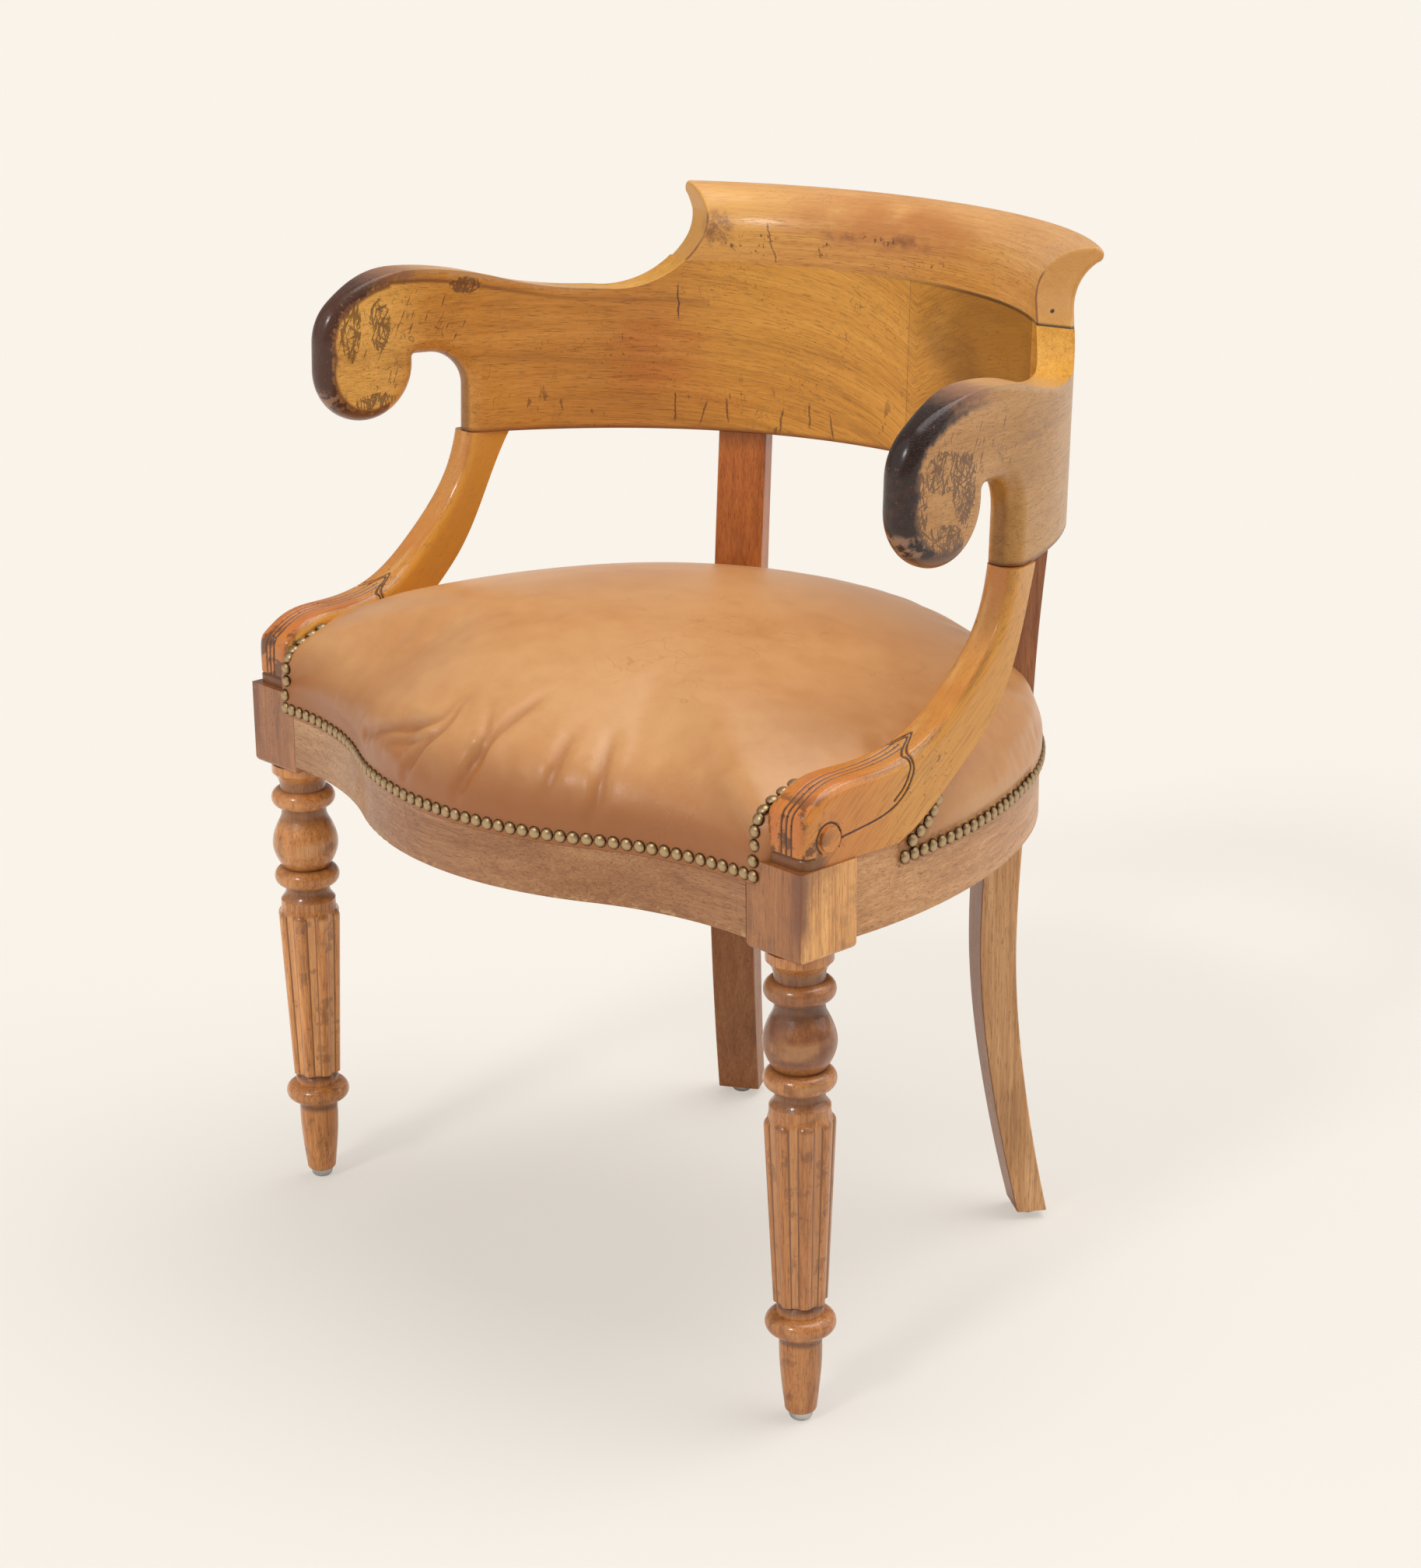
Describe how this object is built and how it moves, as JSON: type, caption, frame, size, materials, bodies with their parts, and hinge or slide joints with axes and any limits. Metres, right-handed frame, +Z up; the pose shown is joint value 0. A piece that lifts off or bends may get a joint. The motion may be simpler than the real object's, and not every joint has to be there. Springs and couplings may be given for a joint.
{
  "type": "gondola chair",
  "caption": "Gondola desk chair: curved band back with rolled crest, scrolled arms on swept supports, reeded front legs, sabre rear legs and a domed, nailed leather seat.",
  "frame": {"origin": "on the floor, below the middle of the chair's box", "axes": "+X to the right as seen from the front, -Y the front that a sitter faces, +Z up"},
  "size_m": [0.63, 0.529, 0.7563],
  "materials": {
    "band_wood": "figured veneer, worn honey-gold French polish with dark scratches",
    "old_wood": "solid reddish gold-brown wood, old wax polish",
    "inner_wood": "bare pale wood",
    "glide_steel": "pressed steel, worn bright",
    "jute": "woven jute web",
    "hessian": "plain woven hessian",
    "hair": "curled hair stuffing",
    "tan_leather": "smooth tan leather, soft gloss",
    "aged_brass": "domed heads, dulled and darkened"
  },
  "bodies": {
    "root": {"crest_rail": "band_wood", "back_panel": "band_wood", "arm_right": "band_wood", "arm_left": "band_wood", "arm_support_right": "old_wood", "arm_support_left": "old_wood", "front_leg_right": "old_wood", "front_leg_left": "old_wood", "rear_leg_right": "old_wood", "rear_leg_left": "old_wood", "front_rail": "old_wood", "back_rail": "old_wood", "side_rail_right": "old_wood", "side_rail_left": "old_wood", "corner_block_right": "inner_wood", "corner_block_left": "inner_wood", "panel_dowels": "inner_wood", "crest_dowels": "inner_wood", "post_dowels": "inner_wood", "arm_dowels": "inner_wood", "foot_dowels": "inner_wood", "front_glide_right": "glide_steel", "front_glide_left": "glide_steel", "rear_glide_right": "glide_steel", "rear_glide_left": "glide_steel", "webbing_lengthwise": "jute", "webbing_crosswise": "jute", "base_cloth": "hessian", "stuffing": "hair", "leather_cover": "tan_leather", "front_nails": "aged_brass", "back_nails": "aged_brass", "side_nails_right": "aged_brass", "side_nails_left": "aged_brass", "inner_nails_right": "aged_brass", "inner_nails_left": "aged_brass"}
  },
  "joints": []
}
